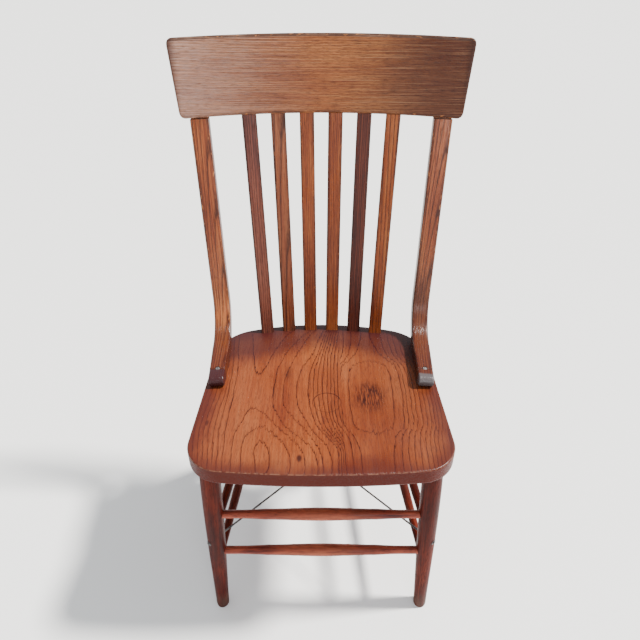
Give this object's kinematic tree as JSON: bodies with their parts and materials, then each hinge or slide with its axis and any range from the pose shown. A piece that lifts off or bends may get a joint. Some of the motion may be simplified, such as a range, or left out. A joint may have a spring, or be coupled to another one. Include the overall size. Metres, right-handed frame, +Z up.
{
  "type": "side chair",
  "caption": "Armless oak side chair: dished board seat, raked slatted back with a curved crest rail on bent posts, turned legs, stretchers and crossed brace wires.",
  "frame": {"origin": "on the floor, at the middle of the footprint of the bounding box", "axes": "+X to the sitter's left as seen from the front of the chair (the viewer's right), +Y from the front of the seat towards the back, +Z up"},
  "size_m": [0.504, 0.4838, 0.9901],
  "materials": {
    "oak_seat": "worn varnish, satin",
    "oak_slat": "worn varnish, satin",
    "oak_crest": "worn varnish, satin",
    "oak_post": "worn varnish, satin",
    "stained_leg": "red-brown stain, satin",
    "stained_stretcher": "red-brown stain, satin",
    "steel_wire": "dull, darkened",
    "steel_screw": "worn bright"
  },
  "bodies": {
    "root": {"seat_board_left": "oak_seat", "seat_board_centre_left": "oak_seat", "seat_board_centre_right": "oak_seat", "seat_board_right": "oak_seat", "slat_1": "oak_slat", "slat_2": "oak_slat", "slat_3": "oak_slat", "slat_4": "oak_slat", "slat_5": "oak_slat", "slat_6": "oak_slat", "crest_rail": "oak_crest", "post_left": "oak_post", "post_right": "oak_post", "leg_front_left": "stained_leg", "leg_front_right": "stained_leg", "leg_rear_left": "stained_leg", "leg_rear_right": "stained_leg", "stretcher_front_upper": "stained_stretcher", "stretcher_front_lower": "stained_stretcher", "stretcher_left_upper": "stained_stretcher", "stretcher_left_lower": "stained_stretcher", "stretcher_right_upper": "stained_stretcher", "stretcher_right_lower": "stained_stretcher", "stretcher_rear": "stained_stretcher", "brace_wire_low": "steel_wire", "brace_wire_high": "steel_wire", "brace_washers": "steel_wire", "post_toe_screws": "steel_screw", "post_heel_screws": "steel_screw", "crest_screws": "steel_screw"}
  },
  "joints": []
}
